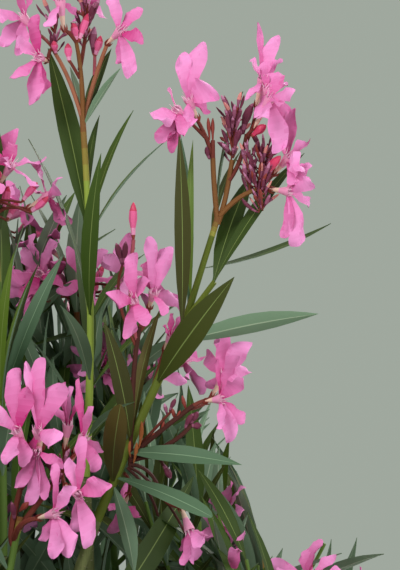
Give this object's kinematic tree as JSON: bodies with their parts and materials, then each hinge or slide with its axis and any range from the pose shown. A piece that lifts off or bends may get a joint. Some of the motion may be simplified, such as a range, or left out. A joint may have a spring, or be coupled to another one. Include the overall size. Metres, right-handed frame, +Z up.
{
  "type": "potted oleander",
  "caption": "Potted flowering oleander shrub: upright canes from the soil of a round pot, forking into leafy shoots with pink blossom.",
  "frame": {"origin": "middle of the pot's flat underside", "axes": "+Z up, +Y away from the viewer of the picture, +X to the viewer's right"},
  "size_m": [0.4307, 0.4124, 0.9442],
  "materials": {
    "pot": "matte terracotta-coloured moulded pot",
    "soil": "dark, loose potting soil",
    "bark": "smooth grey-brown bark, greener towards the tips",
    "foliage": "leathery dark green leaves with paler undersides, and pink blossom"
  },
  "bodies": {
    "root": {"pot": "pot", "soil": "soil", "cane_centre": "bark", "cane_front": "bark", "cane_front_left": "bark", "cane_left": "bark", "cane_back_left": "bark", "cane_back": "bark", "cane_right": "bark", "bough_middle": "bark", "bough_inner_back": "bark", "bough_leaning": "bark", "bough_low_front": "bark", "bough_front_left": "bark", "bough_upright_left": "bark", "bough_far_left": "bark", "bough_rear_left": "bark", "bough_outer_left": "bark", "bough_rear": "bark", "bough_rear_right": "bark", "bough_right": "bark", "bough_inner_right": "bark", "shoot_upright": "foliage", "shoot_leaning": "foliage", "shoot_low_front": "foliage", "shoot_upright_left": "foliage", "shoot_inner_back": "foliage", "shoot_front_left": "foliage", "shoot_far_left": "foliage", "shoot_rear_left": "foliage", "shoot_outer_left": "foliage", "shoot_rear": "foliage", "shoot_rear_right": "foliage", "shoot_right": "foliage", "shoot_inner_right": "foliage", "shoot_low_front_a": "foliage", "shoot_low_right_a": "foliage", "shoot_low_rear_right": "foliage", "shoot_low_rear": "foliage", "shoot_low_left": "foliage", "shoot_low_corner": "foliage", "shoot_low_front_b": "foliage", "shoot_side_front": "foliage", "shoot_side_left": "foliage", "shoot_side_corner": "foliage", "shoot_side_rear": "foliage", "shoot_side_right": "foliage", "shoot_side_leaning": "foliage", "shoot_low_right_b": "foliage"}
  },
  "joints": []
}
